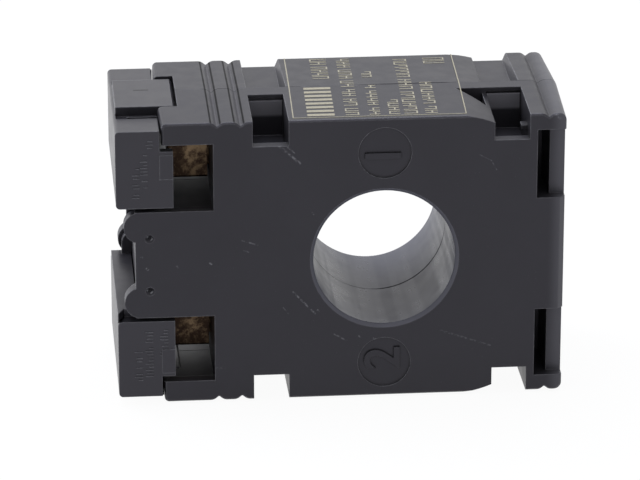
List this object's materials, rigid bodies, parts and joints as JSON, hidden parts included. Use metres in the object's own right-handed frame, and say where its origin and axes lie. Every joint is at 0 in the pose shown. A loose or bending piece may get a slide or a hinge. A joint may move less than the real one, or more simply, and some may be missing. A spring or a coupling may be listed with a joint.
{
  "type": "window current transformer",
  "caption": "Moulded window current transformer with a round cable bore, side pockets for feet and two hinged terminal covers.",
  "frame": {"origin": "centre of the cable bore, on the parting plane of the case", "axes": "+Y along the bore towards the rear face, +X from the terminals to the foot end, +Z towards the long narrow side that carries the printed data"},
  "size_m": [0.0664, 0.0286, 0.0444],
  "materials": {
    "case_plastic": "fine matt moulded polycarbonate",
    "cover_plastic": "fine matt moulded polycarbonate",
    "terminal_brass": "tarnished brass",
    "zinc_steel": "zinc plated",
    "core_steel": "wound silicon steel strip",
    "core_insulation": "natural nylon",
    "enamelled_wire": "enamelled copper",
    "glass_sleeve": "varnished glass braid",
    "packing_foam": "closed-cell foam"
  },
  "bodies": {
    "case": {"front_shell": "case_plastic", "rear_shell": "case_plastic", "upper_terminal_block": "terminal_brass", "lower_terminal_block": "terminal_brass", "upper_lead_sleeve": "glass_sleeve", "lower_lead_sleeve": "glass_sleeve", "toroidal_core": "core_steel", "core_cap_front": "core_insulation", "core_cap_rear": "core_insulation", "secondary_winding": "enamelled_wire", "packing_ring_front": "packing_foam", "packing_ring_rear": "packing_foam"},
    "upper_cover": {"upper_terminal_cover": "cover_plastic"},
    "lower_cover": {"lower_terminal_cover": "cover_plastic"},
    "upper_clamp": {"upper_clamp_plate": "zinc_steel", "upper_spring_ring": "zinc_steel"},
    "lower_clamp": {"lower_clamp_plate": "zinc_steel", "lower_spring_ring": "zinc_steel"},
    "upper_screw": {"upper_terminal_screw": "zinc_steel"},
    "lower_screw": {"lower_terminal_screw": "zinc_steel"}
  },
  "joints": [
    {"name": "upper_cover_hinge", "type": "hinge", "parent": "case", "child": "upper_cover", "pos_m": [-0.0359, 0, 0.0059], "axis": [0, -1, 0], "range_deg": [0, 90]},
    {"name": "lower_cover_hinge", "type": "hinge", "parent": "case", "child": "lower_cover", "pos_m": [-0.0359, 0, -0.0059], "axis": [0, 1, 0], "range_deg": [0, 90]},
    {"name": "upper_clamp_travel", "type": "slide", "parent": "case", "child": "upper_clamp", "axis": [-1, 0, 0], "range_m": [0, 0.00175]},
    {"name": "upper_screw_turn", "type": "hinge", "parent": "upper_clamp", "child": "upper_screw", "pos_m": [-0.0333, 0, 0.01344], "axis": [-1, 0, 0], "range_deg": [0, 900]},
    {"name": "lower_clamp_travel", "type": "slide", "parent": "case", "child": "lower_clamp", "axis": [-1, 0, 0], "range_m": [0, 0.00175]},
    {"name": "lower_screw_turn", "type": "hinge", "parent": "lower_clamp", "child": "lower_screw", "pos_m": [-0.0333, 0, -0.01344], "axis": [-1, 0, 0], "range_deg": [0, 900]}
  ],
  "couplings": [
    {"joint": "upper_screw_turn", "follows": "upper_clamp_travel", "rad_per_m": 8976},
    {"joint": "lower_screw_turn", "follows": "lower_clamp_travel", "rad_per_m": 8976}
  ]
}
